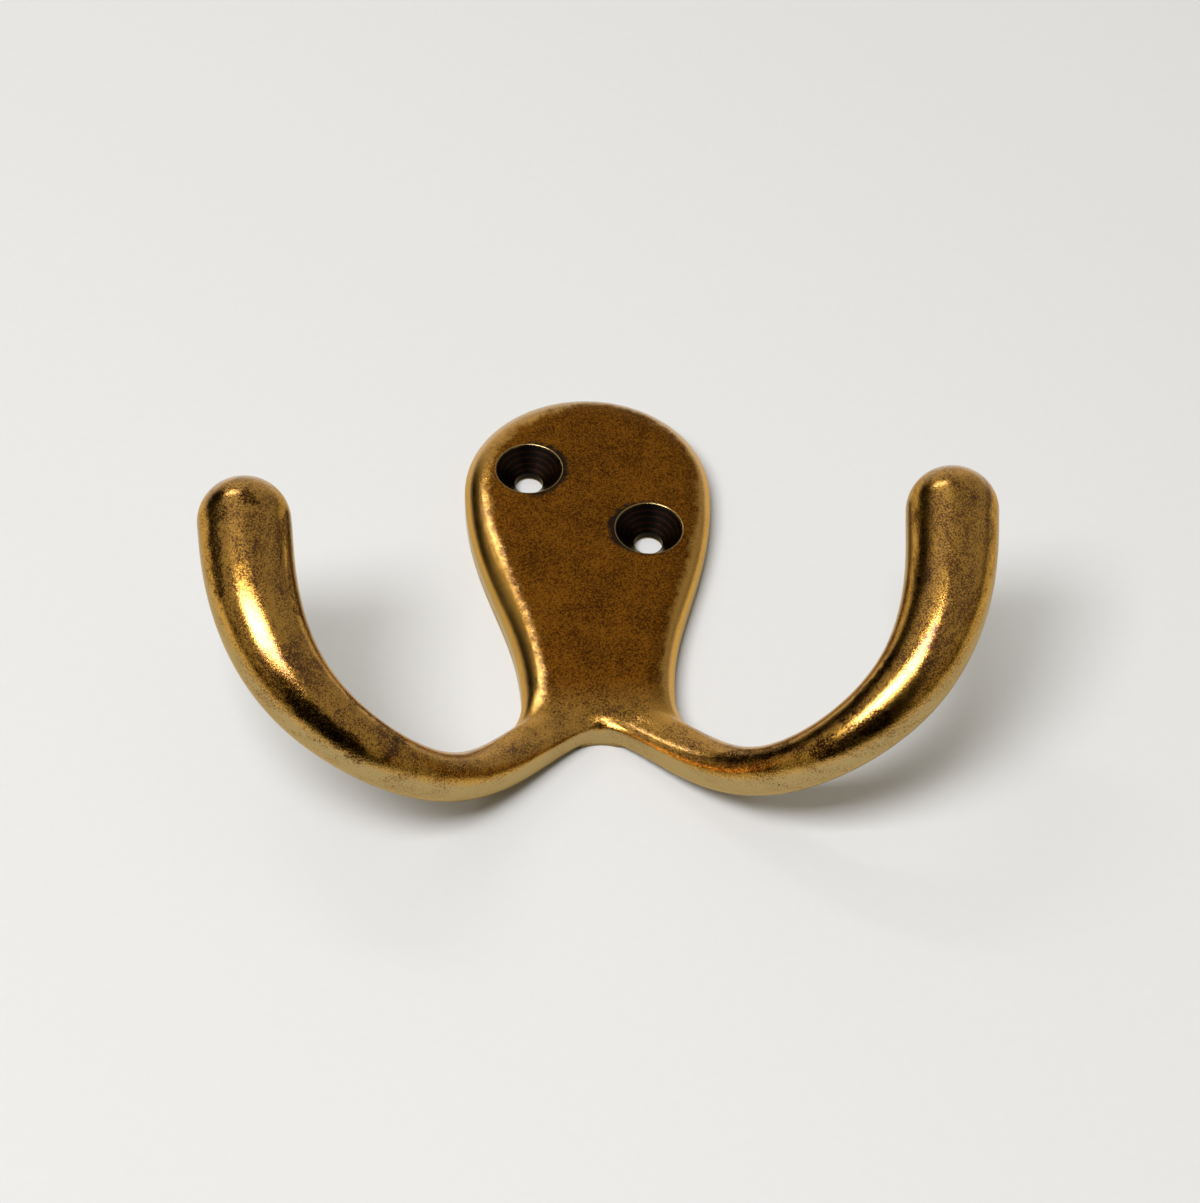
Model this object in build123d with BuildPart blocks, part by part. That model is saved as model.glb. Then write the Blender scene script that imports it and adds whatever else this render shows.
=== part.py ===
from build123d import *
from math import copysign, cos, pi, radians, sin
import os

# Hat and coat hook, cast in one piece: a pear-shaped wall plate that ends in two feet, and
# an arm that grows out of each foot, sweeps down, forwards and up, and ends in a ball.
# Millimetres. The origin is midway between the two screw holes, on the flat back.
# +Z is up, the wall is the plane y = 0, and the hook stands out towards -Y.

# Wall plate
plate_thickness = 3.2
lobe_radius = 13.0
lobe_rise = 2.3
flank_half_width = 10.4
flank_drop = 12.4
neck_half_width = 7.65
neck_drop = 26.2
crook_radius = 6.5
crook_turn = 52.0
foot_corner_radius = 0.8
front_edge_radius = 1.7
notch_radius = 5.0
notch_turn = 20.0
notch_below_neck = 4.1

# Screw holes, set on a slant
hole_half_span = 6.15
hole_half_rise = 4.4
bore_radius = 1.5
countersink_radius = 3.55
countersink_angle = 82.0

# Root of an arm: it starts flat and just under the plate's skin, over the notch, follows
# the notch down and comes through the skin of the foot at a low angle
root_turn = 6.0
leave_turn = 50.0
leave_lift = 0.3
root_inset = 0.2
root_proud = 0.2
root_fullness = 5.0

# Arm: each station is the reach from the middle, the height off the wall and the drop
# below the top of the notch
arm_bend = (12.8, 4.6, 6.9)
arm_belly = (20.6, 10.7, 9.4)
arm_turn = (28.5, 16.0, 5.3)
arm_rise = (32.2, 19.0, -1.4)
arm_tip = (33.8, 21.6, -10.8)
tip_direction = (0.08, -0.25, 0.96)
arm_radius = 2.3
tip_radius = 4.45
ball_proud = 0.02

# Shares of the arm's length, from root to tip
clear_of_plate = 0.12
round_from = 0.32
taper_start = 0.25

end_pull = 1.0
section_count = 12
section_points = 24

plate_middle = plate_thickness / 2
notch_drop = neck_drop + notch_below_neck
notch_centre_drop = notch_drop + notch_radius
arch_radius = notch_radius + arm_radius - root_proud


def ease(share):
    share = min(1.0, max(0.0, share))
    return share**2 * (3.0 - 2.0 * share)


def beside_notch(turn, lift):
    """The arm's station at a turn round the notch, lifted off the middle of the plate."""
    reach = arch_radius * sin(radians(turn))
    drop = notch_radius - arch_radius * cos(radians(turn))
    return (reach, plate_middle + lift, drop)


def half_width_at(along):
    growth = ease((along - taper_start) / (1.0 - taper_start))
    under_skin = root_inset * (1.0 - ease(along / clear_of_plate))
    return arm_radius + (tip_radius - arm_radius) * growth - under_skin


def half_depth_at(along):
    start = plate_middle - root_inset
    return start + (half_width_at(along) - start) * ease(along / round_from)


def section_outline(along):
    """Points round the arm: a full, flat-topped oval at the root that turns into a circle."""
    depth = half_depth_at(along)
    width = half_width_at(along)
    power = 2.0 / (root_fullness + (2.0 - root_fullness) * ease(along / round_from))
    points = []
    for k in range(section_points):
        turn = 2.0 * pi * k / section_points
        front = copysign(abs(cos(turn)) ** power, cos(turn)) * depth
        side = copysign(abs(sin(turn)) ** power, sin(turn)) * width
        points.append((front, side))
    return points


with BuildPart() as plate:
    with BuildSketch(Plane.XZ) as outline:
        with BuildLine():
            lobe = CenterArc((0, lobe_rise), lobe_radius, 0, 90)
            neck_point = (neck_half_width, -neck_drop)
            flank_points = (lobe @ 0, (flank_half_width, -flank_drop), neck_point)
            flank = Spline(*flank_points, tangents=[(0, -1), (0, -1)])
            crook_centre = (neck_half_width + crook_radius, -neck_drop)
            crook = CenterArc(crook_centre, crook_radius, 180, crook_turn)
            notch = CenterArc((0, -notch_centre_drop), notch_radius, 90 - notch_turn, notch_turn)
            foot = Line(crook @ 1, notch @ 0)
            mirror(about=Plane.YZ)
        make_face()
        feet = outline.vertices().filter_by(lambda v: abs(v.X) > neck_half_width and v.Y < -neck_drop)
        fillet(feet, foot_corner_radius)
    extrude(amount=plate_thickness)
    front = plate.faces().sort_by(Axis.Y)[0]
    fillet(front.edges(), front_edge_radius)

root = beside_notch(root_turn, 0.0)
leave = beside_notch(leave_turn, leave_lift)
stations = (root, leave, arm_bend, arm_belly, arm_turn, arm_rise, arm_tip)
points = [Vector(reach, -height, -notch_drop - drop) for reach, height, drop in stations]
ends = [(cos(radians(root_turn)), 0, -sin(radians(root_turn))), tip_direction]
path = Spline(*points, tangents=ends, tangent_scalars=[end_pull, end_pull])

with BuildPart() as arm:
    for k in range(section_count + 1):
        along = k / section_count
        with BuildSketch(Plane(path @ along, x_dir=(0, -1, 0), z_dir=path % along)):
            with BuildLine():
                Spline(*section_outline(along), periodic=True)
            make_face()
    loft()
    with Locations(path @ 1):
        Sphere(tip_radius + ball_proud)

with BuildPart() as hook:
    add(arm.part)
    mirror(arm.part, about=Plane.YZ)
    add(plate.part)
    with Locations(Plane.XZ.offset(plate_thickness)):
        with Locations((-hole_half_span, hole_half_rise), (hole_half_span, -hole_half_rise)):
            CounterSinkHole(bore_radius, countersink_radius, counter_sink_angle=countersink_angle)
hook.part.label = "coat_hook"

os.makedirs("parts", exist_ok=True)
export_step(hook.part, "parts/coat_hook.step")
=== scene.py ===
import math
from functools import reduce
from types import SimpleNamespace

import bmesh
import bpy
from mathutils import Matrix, Vector

# Hat and coat hook in antiqued brass, lying with its back on a pale surface.
# Metres. The row frame: +Z up the plate, the back of the plate on y = 0, arms towards -Y.
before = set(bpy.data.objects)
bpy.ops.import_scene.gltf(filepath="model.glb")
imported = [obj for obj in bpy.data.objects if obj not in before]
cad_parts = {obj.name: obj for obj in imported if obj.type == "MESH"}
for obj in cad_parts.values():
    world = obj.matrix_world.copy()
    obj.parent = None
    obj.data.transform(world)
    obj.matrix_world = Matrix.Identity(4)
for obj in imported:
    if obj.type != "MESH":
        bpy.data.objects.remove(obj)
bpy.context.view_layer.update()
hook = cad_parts["coat_hook"]

MM = 0.001

# Places on the casting
FACE_Y = -3.2 * MM
EDGE_DEPTH = 1.7 * MM
LOBE_RADIUS = 13.0 * MM
LOBE_RISE = 2.3 * MM
NECK_HALF = 7.65 * MM
NECK_DROP = 26.2 * MM
HOLES = ((-6.15 * MM, 4.4 * MM), (6.15 * MM, -4.4 * MM))
COUNTERSINK = 3.55 * MM
BEND_MIDDLE = (20.0 * MM, -25.0 * MM)
BEND_RADIUS = 14.0 * MM

# The face begins to fall away this far inside the plate's outline. It is steepest where the
# rounded edge begins.
FALL_START = 3.0 * MM
FALL_SLOPE = 0.36

# Patterns in the finish: cells to a metre, detail and roughness
GRAIN = (6400, 4.0, 0.75)
MOTTLE = (1100, 4.0, 0.60)
CLOUD = (240, 3.0, 0.55)
STREAK = (700, 4.0, 0.60)
STREAK_SQUEEZE = 0.10
SURFACE_GRAIN = (900, 3.0, 0.60)

# Parts of the casting: where each one begins and where it is full
FACING_FRONT = (0.90, 0.995)
NEAR_FACE = (FACE_Y - 0.7 * MM, FACE_Y - 0.3 * MM)
ON_ARM = (FACE_Y - 0.2 * MM, FACE_Y - 1.4 * MM)
ABOVE_ROOTS = (-31.0 * MM, -24.0 * MM)
ABOVE_FEET = (-29.0 * MM, -25.0 * MM)
EDGE_BAND = (3.4 * MM, 1.6 * MM)

# Brown patina: how far inside the outline it holds, and how much further in it gives way
# towards the left, where bright brass is painted in as a highlight on the lit edge
PATINA_EDGE = (0.4 * MM, 1.8 * MM)
PATINA_SWAY = 3.0 * MM
LEFT_SIDE = (2.0 * MM, -6.0 * MM)
LEFT_PAINTED_HIGHLIGHT = 1.2 * MM

# Screw holes: their walls, rims with a painted highlight, turning rings, and the crescents beside
# them
HOLE_WALL = (COUNTERSINK + 0.02 * MM, COUNTERSINK - 0.10 * MM)
HOLE_TOP = (FACE_Y + 0.03 * MM, FACE_Y + 0.20 * MM)
HOLE_BACK = (-0.02 * MM, -0.12 * MM)
RIM_LINE = (0.09 * MM, 0.03 * MM)
RIM_DEPTH = (FACE_Y + 0.25 * MM, FACE_Y + 0.10 * MM)
RING_STEP = 0.42 * MM
CRESCENT_SHIFT = 0.5 * MM
CRESCENT_SWAY = 1.8 * MM
CRESCENT_EDGE = (COUNTERSINK + 0.55 * MM, COUNTERSINK - 0.05 * MM)
CRESCENT_DEPTH = (FACE_Y + 1.2 * MM, FACE_Y + 0.3 * MM)

# Dark strokes on the arms, a painted reflection of the dark room: where each stroke starts and ends,
# and its half width, in mm
DARK_REFLECTION_STROKES = (
    ((-36.1, -25.4, -19.7), (-35.6, -22.2, -28.5), 0.75),
    ((-33.1, -25.9, -20.3), (-32.7, -25.8, -20.8), 0.65),
    ((-28.8, -18.4, -38.4), (-22.9, -14.0, -41.5), 0.85),
    ((-29.6, -23.0, -20.5), (-28.4, -20.9, -29.9), 0.70),
    ((-23.6, -16.7, -36.8), (-19.0, -13.2, -39.2), 0.55),
    ((19.8, -12.6, -41.2), (25.4, -16.2, -40.0), 0.85),
    ((11.3, -6.6, -36.5), (16.7, -11.2, -39.6), 0.70),
    ((21.8, -15.3, -39.2), (25.9, -18.8, -35.7), 0.60),
)
STROKE_SOFTNESS = (0.25, -0.15)
STROKE_SWAY = 1.6 * MM

# A small nick on the face
NICK_AT = (1.7 * MM, 5.0 * MM)
NICK_TURN = math.radians(50)
NICK_HALF_LENGTH = 0.55 * MM
NICK_HALF_WIDTH = 0.16 * MM
NICK_EDGE = (1.0, 0.5)

# Shades of the finish: where in its pattern each one begins and where it is full
BROWN_TONES = (0.42, 0.58)
WORN_BRIGHT = (0.44, 0.54)
PALE_SHEEN_IN_WEAR = (0.38, 0.50)
FACING_SIDEWAYS = (0.56, 0.20)
STAINED = (0.43, 0.35)
STAIN_FACING = (0.15, 0.55)
STROKE_GRAIN = (0.62, 0.50)
RING_LINE = (0.35, 0.95)
RING_GRAIN = (0.35, 0.60)

# Pits in the brass and dust on the surface: cells to a metre, the edge of the speck in its
# cell, and the cells that hold one
PITS = (420, (0.085, 0.04), (0.80, 0.82))
DUST_SPECKS = (60, (0.020, 0.012), (0.86, 0.88))

# How much each mark covers what lies under it
STAIN_COVER = 0.75
STROKE_COVER = 0.88
CRESCENT_COVER = 0.92
RING_COVER = 0.5
RIM_COVER = 0.7
NICK_COVER = 0.8
PIT_COVER = 0.85
SURFACE_GRAIN_COVER = 0.06
DUST_COVER = 0.45

# Surface of the brass: seams are softened and the rims of the holes stay crisp
SMOOTHEST = 0.07
CRISP_RADIUS = 0.15 * MM
SEAM_SOFTENING = 0.9 * MM
SEAM_START = (COUNTERSINK + 0.4 * MM, COUNTERSINK + 1.6 * MM)
SEAM_SAMPLES = 8
RELIEF_STRENGTH = 0.35
RELIEF_DEPTH = 0.042 * MM

# Clear wax over the brass, on what faces forwards, with little on the face and on the dark strokes of
# painted reflection
WAX_ON = (0.50, 0.85)
WAX_ROUGHNESS = 0.10
WAX_IOR = 1.46
FACE_UNWAXED = 0.9
STROKE_UNWAXED = 0.8

# Finishes, as linear colours
# Pale: a painted reflection of the surface on what faces sideways, and a painted highlight on the
# rims of the holes
PAINTED_PALE_SHEEN = (0.45, 0.325, 0.135)
BRIGHT_BRASS = (0.70, 0.37, 0.060)
AGED_BRASS = (0.15, 0.048, 0.001)
BROWN_BRASS = (0.33, 0.125, 0.009)
BROWN_PATINA = (0.066, 0.020, 0.002)
# Dark: a painted reflection of the dark room, in strokes on the arms
PAINTED_DARK_REFLECTION = (0.045, 0.013, 0.003)
BLACK_PATINA = (0.014, 0.011, 0.010)
RED_PATINA = (0.12, 0.035, 0.012)
EDGE_TINT = (0.94, 0.80, 0.58)
SURFACE_WHITE = (0.71, 0.708, 0.703)
SURFACE_GREY = (0.70, 0.698, 0.692)
DUST = (0.32, 0.31, 0.30)

# Surface behind the hook, and the part of it that the plate covers
SURFACE_HALF = 1.5
SURFACE_Y = 0.1 * MM
PAINTED_LIGHT_FADE = (90 * MM, -110 * MM)
COVERED_EDGE = (0.5 * MM, 0.7 * MM)
COVERED_FOOT = (-29.9 * MM, -29.7 * MM)
COVERED_HOLE = (2.6 * MM, 2.8 * MM)

# Camera
CAMERA_AT = Vector((-11.93, -213.22, -194.15)) * MM
CAMERA_RIGHT = Vector((0.9988, -0.0236, -0.0421))
CAMERA_UP = Vector((0.0166, -0.6508, 0.7591))
LENS = 81.6
SENSOR_WIDTH = 36.0
CLIP_START = 0.01
CLIP_END = 20.0

# Room: how light it is all round, behind the surface, high up and as the camera sees it
ROOM_LIGHT = 0.40
BACK_LIGHT = 0.50
HIGH_LIGHT = 0.30
PLAIN_LIGHT = 0.98
ROOM_TINT = (0.84, 0.78, 0.62)
WINDOW_TINT = (0.985, 0.995, 1.03)
PLAIN_TINT = (0.80, 0.796, 0.788)
HIGH = (0.70, 0.95)
BEHIND = (0.0, 0.1)

# Dark parts of the room: the way to the middle of each one, and the angles from there at
# which it begins and is full. Low down it is dark all along the surface.
DARK_SIDE = ((-0.06, -0.45, -0.89), 42, 26)
DARK_CORNER = ((-0.77, -0.19, 0.61), 28, 12)
DARKEST = 0.97
LOW = (0.26, 0.04)
NOT_HIGH = (0.75, 0.35)
LOW_SHADE = 0.8

# Windows: which way each one lies from the hook, how wide and how tall it looks from there
# in degrees, and how bright it is
WINDOWS = {
    "near_window": ((-0.32, -0.90, -0.29), 36, 19, 14.5),
    "far_window": ((-0.36, -0.707, 0.594), 24, 4, 8.0),
    "light_curtain": ((-0.37, -0.87, 0.28), 34, 28, 0.2),
}


class Nodes:
    """A node tree, with short ways to add, set and join its nodes."""

    def __init__(self, tree, output_kind):
        self.tree = tree
        self.tree.nodes.clear()
        self.output = self.add(output_kind)

    def add(self, kind, **settings):
        node = self.tree.nodes.new(kind)
        for key, value in settings.items():
            setattr(node, key, value)
        return node

    def feed(self, socket, value):
        """Join an output to a socket, or set the socket to a plain value."""
        if isinstance(value, bpy.types.NodeSocket):
            self.tree.links.new(value, socket)
        elif isinstance(value, tuple) and socket.type == "RGBA":
            socket.default_value = (*value, 1.0)
        else:
            socket.default_value = value

    def fill(self, node, inputs):
        """Feed a node's inputs, given by name or by number."""
        for key, value in inputs.items():
            self.feed(node.inputs[key], value)

    def math(self, operation, a, b=0.0, clamp=False):
        node = self.add("ShaderNodeMath", operation=operation, use_clamp=clamp)
        self.fill(node, {0: a, 1: b})
        return node.outputs[0]

    def plus(self, *values):
        return reduce(lambda a, b: self.math("ADD", a, b), values)

    def minus(self, a, b):
        return self.math("SUBTRACT", a, b)

    def times(self, *values):
        return reduce(lambda a, b: self.math("MULTIPLY", a, b), values)

    def most(self, *values):
        return reduce(lambda a, b: self.math("MAXIMUM", a, b), values)

    def least(self, *values):
        return reduce(lambda a, b: self.math("MINIMUM", a, b), values)

    def blend(self, *parts):
        """The weighted sum of some values."""
        return self.plus(*(self.times(value, weight) for value, weight in parts))

    def sway(self, pattern, span):
        """A pattern spread over a span, half of it to either side of nought."""
        return self.times(self.minus(pattern, 0.5), span)

    def ramp(self, value, low, high):
        """0 below low, 1 above high, smooth between; low may be the larger."""
        node = self.add("ShaderNodeMapRange", interpolation_type="SMOOTHSTEP")
        falls = low > high
        self.fill(node, {"Value": value, "From Min": min(low, high), "From Max": max(low, high)})
        self.fill(node, {"To Min": float(falls), "To Max": float(not falls)})
        return node.outputs[0]

    def vector(self, operation, a, b=(0.0, 0.0, 0.0)):
        node = self.add("ShaderNodeVectorMath", operation=operation)
        self.fill(node, {0: a, 1: b})
        return next(output for output in node.outputs if output.enabled)

    def split(self, vector):
        """The x, y and z of a place or a direction."""
        node = self.add("ShaderNodeSeparateXYZ")
        self.fill(node, {0: vector})
        return node.outputs

    def mix(self, share, a, b, kind="RGBA"):
        """One colour or direction, with a share of another one laid over it."""
        node = self.add("ShaderNodeMix", data_type=kind)
        under, over = [socket for socket in node.inputs if socket.type == kind][-2:]
        self.feed(node.inputs["Factor"], share)
        self.feed(under, a)
        self.feed(over, b)
        return next(socket for socket in node.outputs if socket.type == kind)

    def bump(self, height, normal, strength, distance):
        node = self.add("ShaderNodeBump")
        self.fill(node, {"Height": height, "Normal": normal})
        self.fill(node, {"Strength": strength, "Distance": distance})
        return node.outputs[0]

    def noise(self, place, scale, detail, roughness):
        node = self.add("ShaderNodeTexNoise")
        self.fill(node, {"Vector": place, "Scale": scale})
        self.fill(node, {"Detail": detail, "Roughness": roughness})
        return node.outputs["Fac"]

    def specks(self, place, scale, edge, chosen):
        """1 on small round specks, each in the middle of a cell that is chosen at random."""
        cells = self.add("ShaderNodeTexVoronoi")
        self.fill(cells, {"Vector": place, "Scale": scale})
        pick = self.add("ShaderNodeSeparateColor")
        self.fill(pick, {0: cells.outputs["Color"]})
        speck = self.ramp(cells.outputs["Distance"], *edge)
        return self.times(speck, self.ramp(pick.outputs[0], *chosen))

    def hypotenuse(self, a, b):
        return self.math("SQRT", self.plus(self.times(a, a), self.times(b, b)))

    def nearest(self, x, z, centres):
        """The distance to the nearest of some centres on the plate."""
        ways = [(self.minus(x, middle_x), self.minus(z, middle_z)) for middle_x, middle_z in centres]
        return self.least(*(self.hypotenuse(*way) for way in ways))

    def inside_outline(self, x, z):
        """How far a place on the plate lies inside its outline."""
        slim = self.times(self.ramp(z, LOBE_RISE, -NECK_DROP), NECK_HALF - LOBE_RADIUS)
        flank = self.minus(self.plus(slim, LOBE_RADIUS), self.math("ABSOLUTE", x))
        lobe = self.minus(LOBE_RADIUS, self.nearest(x, z, ((0.0, LOBE_RISE),)))
        above = self.math("GREATER_THAN", z, LOBE_RISE)
        return self.plus(flank, self.times(above, self.minus(lobe, flank)))

    def along_arms(self, x, y, z):
        """A place given by its way across and along the bend of the arm on its side, squeezed
        along it, so that a pattern there is drawn out into streaks."""
        dx = self.minus(self.math("ABSOLUTE", x), BEND_MIDDLE[0])
        dz = self.minus(z, BEND_MIDDLE[1])
        turn = self.math("ARCTAN2", dx, self.times(dz, -1.0))
        join = self.add("ShaderNodeCombineXYZ")
        along = self.times(turn, BEND_RADIUS * STREAK_SQUEEZE)
        self.fill(join, {"X": self.hypotenuse(dx, dz), "Y": y, "Z": along})
        return join.outputs[0]

    def from_stroke(self, place, start, end):
        """The distance to a straight stroke in space."""
        way = end - start
        offset = self.vector("SUBTRACT", place, start)
        along = self.vector("DOT_PRODUCT", offset, way)
        share = self.math("DIVIDE", along, way.length_squared, clamp=True)
        nearest = self.add("ShaderNodeVectorMath", operation="SCALE")
        self.fill(nearest, {0: way, "Scale": share})
        return self.vector("LENGTH", self.vector("SUBTRACT", offset, nearest.outputs[0]))

    def nick(self, x, z):
        """1 on the small slanted nick, 0 away from it."""
        dx = self.minus(x, NICK_AT[0])
        dz = self.minus(z, NICK_AT[1])
        across_turn = NICK_TURN + math.pi / 2
        along = self.blend((dx, math.cos(NICK_TURN)), (dz, math.sin(NICK_TURN)))
        across = self.blend((dx, math.cos(across_turn)), (dz, math.sin(across_turn)))
        along = self.times(along, 1 / NICK_HALF_LENGTH)
        across = self.times(across, 1 / NICK_HALF_WIDTH)
        return self.ramp(self.hypotenuse(along, across), *NICK_EDGE)

    def cone(self, ray, middle, outer, inner):
        """1 within the inner angle of a direction, 0 outside the outer one, in degrees."""
        towards = self.vector("DOT_PRODUCT", ray, Vector(middle).normalized())
        return self.ramp(towards, math.cos(math.radians(outer)), math.cos(math.radians(inner)))


def new_finish(name):
    """A new material, and its empty node tree."""
    material = bpy.data.materials.new(name)
    material.use_nodes = True
    return material, Nodes(material.node_tree, "ShaderNodeOutputMaterial")


def read_casting(net):
    """Where a point of the casting lies, and the patterns of the finish there."""
    place = net.add("ShaderNodeTexCoord").outputs["Object"]
    x, y, z = net.split(place)
    normal = net.split(net.add("ShaderNodeNewGeometry").outputs["Normal"])
    at = SimpleNamespace(place=place, x=x, y=y, z=z)
    at.outward = net.times(normal["Y"], -1.0)
    at.inward = net.inside_outline(x, z)
    at.reach = net.nearest(x, z, HOLES)
    at.near_face = net.ramp(y, *NEAR_FACE)
    at.on_arm = net.ramp(y, *ON_ARM)
    at.grain = net.noise(place, *GRAIN)
    at.mottle = net.noise(place, *MOTTLE)
    at.cloud = net.noise(place, *CLOUD)
    at.streak = net.plus(net.sway(net.noise(net.along_arms(x, y, z), *STREAK), at.on_arm), 0.5)
    return at


def brown_face(net, at):
    """1 where the flat front of the plate keeps its brown patina, down to where the arms leave. It is
    rubbed off round the edge; further in on the left it gives way to bright brass, painted in as a
    highlight where the light falls on that edge."""
    front = net.times(net.ramp(at.outward, *FACING_FRONT), at.near_face, net.ramp(at.z, *ABOVE_ROOTS))
    # Painted highlight: the patina gives way further in on the left, where the light falls on the
    # edge
    painted_highlight_shift = net.times(net.ramp(at.x, *LEFT_SIDE), LEFT_PAINTED_HIGHLIGHT)
    kept = net.minus(net.plus(at.inward, net.sway(at.mottle, PATINA_SWAY)), painted_highlight_shift)
    return net.times(front, net.ramp(kept, *PATINA_EDGE))


def hole_marks(net, at):
    """The black inside of the screw holes, a pale line round their rims as a painted highlight, and
    the dark crescent beside each one, on the side of the other hole."""
    wall = net.times(net.ramp(at.reach, *HOLE_WALL), net.ramp(at.y, *HOLE_TOP))
    hole = net.times(wall, net.ramp(at.y, *HOLE_BACK))
    line = net.ramp(net.math("ABSOLUTE", net.minus(at.reach, COUNTERSINK)), *RIM_LINE)
    rim = net.times(line, net.ramp(at.y, *RIM_DEPTH))
    shifted = [(hole_x - math.copysign(CRESCENT_SHIFT, hole_x), hole_z) for hole_x, hole_z in HOLES]
    away = net.plus(net.nearest(at.x, at.z, shifted), net.sway(at.mottle, CRESCENT_SWAY))
    crescent = net.times(net.ramp(away, *CRESCENT_EDGE), net.ramp(at.y, *CRESCENT_DEPTH))
    return hole, rim, crescent


def painted_reflection_strokes(net, at):
    """1 on the ragged dark strokes painted as a reflection of the dark room, with brass showing in
    their grain.
    """
    ragged = net.plus(net.sway(at.mottle, STROKE_SWAY), net.sway(at.streak, STROKE_SWAY))
    strokes = []
    for start, end, half_width in DARK_REFLECTION_STROKES:
        away = net.plus(net.from_stroke(at.place, Vector(start) * MM, Vector(end) * MM), ragged)
        edge = [(half_width + softness) * MM for softness in STROKE_SOFTNESS]
        strokes.append(net.ramp(away, *edge))
    return net.times(net.most(*strokes), net.ramp(at.grain, *STROKE_GRAIN))


def worn_colour_and_painted_sheen(net, at):
    """Bright brass with aged brass in its grain, painted paler where it faces sideways as a
    reflection of the pale surface, stained in streaks along the arms, and with the dark strokes of
    painted reflection over it."""
    edge_rub = net.times(net.ramp(at.inward, *EDGE_BAND), at.near_face)
    grains = net.blend((at.grain, 0.58), (at.mottle, 0.08), (at.cloud, 0.12), (at.streak, 0.22))
    wear = net.plus(grains, net.times(edge_rub, 0.06))
    colour = net.mix(net.ramp(wear, *WORN_BRIGHT), AGED_BRASS, BRIGHT_BRASS)
    # Painted reflection: pale brass where the surface faces sideways and would mirror the pale
    # surface, broken up by the wear
    pale_reflection = net.times(net.ramp(at.outward, *FACING_SIDEWAYS), net.ramp(wear, *PALE_SHEEN_IN_WEAR))
    colour = net.mix(pale_reflection, colour, PAINTED_PALE_SHEEN)
    streaks = net.blend((at.streak, 0.60), (at.cloud, 0.30), (at.grain, 0.10))
    stain = net.times(net.ramp(streaks, *STAINED), net.ramp(at.outward, *STAIN_FACING), at.on_arm)
    colour = net.mix(net.times(stain, STAIN_COVER), colour, BROWN_PATINA)
    # Painted reflection: dark strokes where the arms would mirror the dark room
    return net.mix(net.times(at.strokes, STROKE_COVER), colour, PAINTED_DARK_REFLECTION)


def hole_colour(net, at):
    """Black patina, with reddish turning rings."""
    rings = net.math("SINE", net.times(at.reach, 2 * math.pi / RING_STEP))
    rings = net.times(net.ramp(rings, *RING_LINE), net.ramp(at.grain, *RING_GRAIN))
    return net.mix(net.times(rings, RING_COVER), BLACK_PATINA, RED_PATINA)


def brass_colour(net, at):
    tone = net.blend((at.grain, 0.82), (at.mottle, 0.04), (at.cloud, 0.14))
    brown = net.mix(net.ramp(tone, *BROWN_TONES), BROWN_PATINA, BROWN_BRASS)
    colour = net.mix(at.face, worn_colour_and_painted_sheen(net, at), brown)
    colour = net.mix(net.times(at.crescent, CRESCENT_COVER), colour, BLACK_PATINA)
    colour = net.mix(at.hole, colour, hole_colour(net, at))
    # Painted highlight: a pale line round each rim
    colour = net.mix(net.times(at.rim, RIM_COVER), colour, PAINTED_PALE_SHEEN)
    nick = net.times(net.nick(at.x, at.z), at.face)
    colour = net.mix(net.times(nick, NICK_COVER), colour, BLACK_PATINA)
    pits = net.specks(at.place, *PITS)
    return net.mix(net.times(pits, PIT_COVER), colour, BLACK_PATINA)


def face_fall(net, at):
    """The height of the face, which falls away a little towards the plate's outline."""
    run = FALL_START - EDGE_DEPTH
    before = net.least(net.most(net.minus(FALL_START, at.inward), 0.0), run)
    beyond = net.least(net.most(net.minus(EDGE_DEPTH, at.inward), 0.0), EDGE_DEPTH)
    to_edge = net.math("DIVIDE", net.times(before, before), 2 * run)
    over_edge = net.minus(beyond, net.math("DIVIDE", net.times(beyond, beyond), 2 * EDGE_DEPTH))
    return net.times(net.plus(to_edge, over_edge), -FALL_SLOPE)


def brass_relief(net, at):
    """The way that the surface faces: softened seams, the fall of the face, and the grain."""
    seams = net.add("ShaderNodeBevel", samples=SEAM_SAMPLES)
    softening = net.times(net.ramp(at.reach, *SEAM_START), SEAM_SOFTENING)
    net.fill(seams, {"Radius": net.plus(softening, CRISP_RADIUS)})
    soft = seams.outputs[0]
    falling = net.bump(face_fall(net, at), soft, 1.0, 1.0)
    on_plate = net.times(at.near_face, net.ramp(at.z, *ABOVE_FEET))
    relief = net.blend((at.grain, 0.60), (at.mottle, 0.50), (at.streak, 0.40))
    under = net.mix(on_plate, soft, falling, "VECTOR")
    return net.bump(relief, under, RELIEF_STRENGTH, RELIEF_DEPTH)


def antique_brass():
    """Brass with a brown patina on the flat face, worn bright on every rounded surface."""
    material, net = new_finish("antique_brass_finish")
    at = read_casting(net)
    at.face = brown_face(net, at)
    at.hole, at.rim, at.crescent = hole_marks(net, at)
    at.strokes = painted_reflection_strokes(net, at)

    relief = brass_relief(net, at)
    dull = net.blend((at.mottle, 0.14), (at.grain, 0.10), (at.face, 0.18), (at.hole, 0.12))
    bare_face = net.times(at.face, FACE_UNWAXED)
    unwaxed = net.most(bare_face, at.hole, net.times(at.strokes, STROKE_UNWAXED))
    brass = net.add("ShaderNodeBsdfPrincipled")
    net.fill(brass, {
        "Base Color": brass_colour(net, at),
        "Metallic": 1.0,
        "Roughness": net.plus(dull, SMOOTHEST),
        "Normal": relief,
        "Specular Tint": EDGE_TINT,
        "Coat Weight": net.times(net.minus(1.0, unwaxed), net.ramp(at.outward, *WAX_ON)),
        "Coat Roughness": WAX_ROUGHNESS,
        "Coat IOR": WAX_IOR,
        "Coat Normal": relief,
    })
    net.feed(net.output.inputs["Surface"], brass.outputs[0])
    return material


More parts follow.
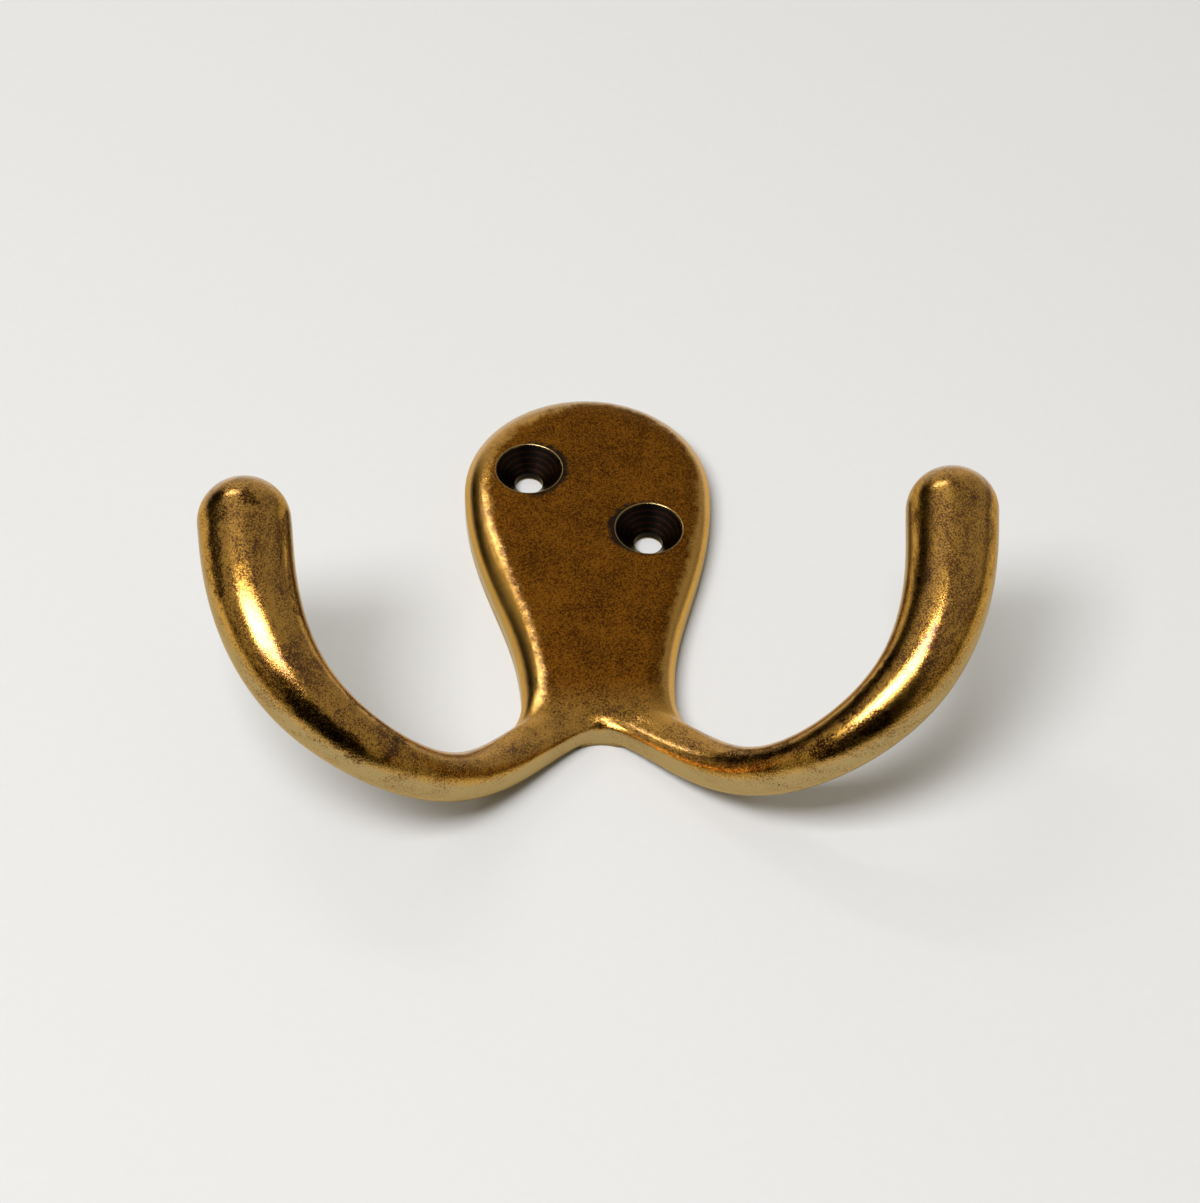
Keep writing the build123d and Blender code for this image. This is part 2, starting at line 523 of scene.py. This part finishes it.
def pale_surface():
    """The pale surface behind the hook, painted a little paler below where more light falls, with a
    faint grain and a few specks of dust. It is clear from behind and where the plate covers it, so
    that the back of the plate stays lit; the screw holes still look out on to it."""
    material, net = new_finish("pale_surface")
    place = net.add("ShaderNodeTexCoord").outputs["Object"]
    x, _, z = net.split(place)
    # Painted light: the surface is a little paler below
    colour = net.mix(net.ramp(z, *PAINTED_LIGHT_FADE), SURFACE_GREY, SURFACE_WHITE)
    grain = net.noise(place, *SURFACE_GRAIN)
    colour = net.mix(net.times(grain, SURFACE_GRAIN_COVER), colour, DUST)
    specks = net.specks(place, *DUST_SPECKS)
    colour = net.mix(net.times(specks, DUST_COVER), colour, DUST)
    paint = net.add("ShaderNodeBsdfDiffuse")
    net.fill(paint, {"Color": colour})

    plate = net.times(net.ramp(net.inside_outline(x, z), *COVERED_EDGE), net.ramp(z, *COVERED_FOOT))
    covered = net.times(plate, net.ramp(net.nearest(x, z, HOLES), *COVERED_HOLE))
    facing_away = net.add("ShaderNodeNewGeometry").outputs["Backfacing"]
    clear = net.add("ShaderNodeBsdfTransparent")
    choose = net.add("ShaderNodeMixShader")
    net.fill(choose, {0: net.most(facing_away, covered), 1: paint.outputs[0], 2: clear.outputs[0]})
    net.feed(net.output.inputs["Surface"], choose.outputs[0])
    return material


def add_surface():
    mesh = bpy.data.meshes.new("pale_surface")
    shape = bmesh.new()
    turn = Matrix.Rotation(math.radians(90), 4, "X")
    shift = Matrix.Translation((0, SURFACE_Y, 0))
    sides = {"x_segments": 1, "y_segments": 1, "size": SURFACE_HALF}
    bmesh.ops.create_grid(shape, matrix=shift @ turn, **sides)
    shape.to_mesh(mesh)
    shape.free()
    surface = bpy.data.objects.new("pale_surface", mesh)
    bpy.context.scene.collection.objects.link(surface)
    mesh.materials.append(pale_surface())


def add_window(name, towards, wide_angle, tall_angle, strength):
    """A window of even brightness, one metre off, seen from the hook at the two angles."""
    data = bpy.data.lights.new(name, "AREA")
    data.shape = "RECTANGLE"
    data.size = 2 * math.tan(math.radians(wide_angle) / 2)
    data.size_y = 2 * math.tan(math.radians(tall_angle) / 2)
    data.energy = math.pi * strength * data.size * data.size_y
    data.color = WINDOW_TINT
    lamp = bpy.data.objects.new(name, data)
    back = Vector(towards).normalized()
    side = Vector((0, 0, 1)).cross(back).normalized()
    turn = Matrix((side, back.cross(side), back)).transposed().to_4x4()
    lamp.matrix_world = Matrix.Translation(back) @ turn
    lamp.visible_camera = False
    bpy.context.scene.collection.objects.link(lamp)


def add_world():
    """A warm room, dark behind the camera, in one corner and low down along the surface. The
    camera sees it plain and light."""
    world = bpy.data.worlds.new("room")
    world.use_nodes = True
    net = Nodes(world.node_tree, "ShaderNodeOutputWorld")
    ray = net.add("ShaderNodeTexCoord").outputs["Generated"]
    _, y, z = net.split(ray)

    dark = net.times(net.most(net.cone(ray, *DARK_SIDE), net.cone(ray, *DARK_CORNER)), DARKEST)
    low = net.times(net.ramp(net.math("ABSOLUTE", y), *LOW), net.ramp(z, *NOT_HIGH), LOW_SHADE)
    room = net.times(net.minus(1.0, dark), net.minus(1.0, low), ROOM_LIGHT)
    room = net.plus(room, net.times(net.ramp(z, *HIGH), HIGH_LIGHT))
    behind = net.times(net.ramp(y, *BEHIND), BACK_LIGHT)
    camera_ray = net.add("ShaderNodeLightPath").outputs["Is Camera Ray"]
    light = net.most(room, behind, net.times(camera_ray, PLAIN_LIGHT))

    back = net.add("ShaderNodeBackground")
    net.fill(back, {"Color": net.mix(camera_ray, ROOM_TINT, PLAIN_TINT), "Strength": light})
    net.feed(net.output.inputs["Surface"], back.outputs[0])
    bpy.context.scene.world = world


def add_camera():
    data = bpy.data.cameras.new("camera")
    data.lens = LENS
    data.sensor_width = SENSOR_WIDTH
    data.sensor_fit = "HORIZONTAL"
    data.clip_start = CLIP_START
    data.clip_end = CLIP_END
    camera = bpy.data.objects.new("camera", data)
    right = CAMERA_RIGHT.normalized()
    back = right.cross(CAMERA_UP).normalized()
    up = back.cross(right)
    turn = Matrix((right, up, back)).transposed().to_4x4()
    camera.matrix_world = Matrix.Translation(CAMERA_AT) @ turn
    bpy.context.scene.collection.objects.link(camera)
    bpy.context.scene.camera = camera


hook.material_slots[0].material = antique_brass()
add_surface()
for window_name, window in WINDOWS.items():
    add_window(window_name, *window)
add_world()
add_camera()

scene = bpy.context.scene
scene.view_settings.view_transform = "Standard"
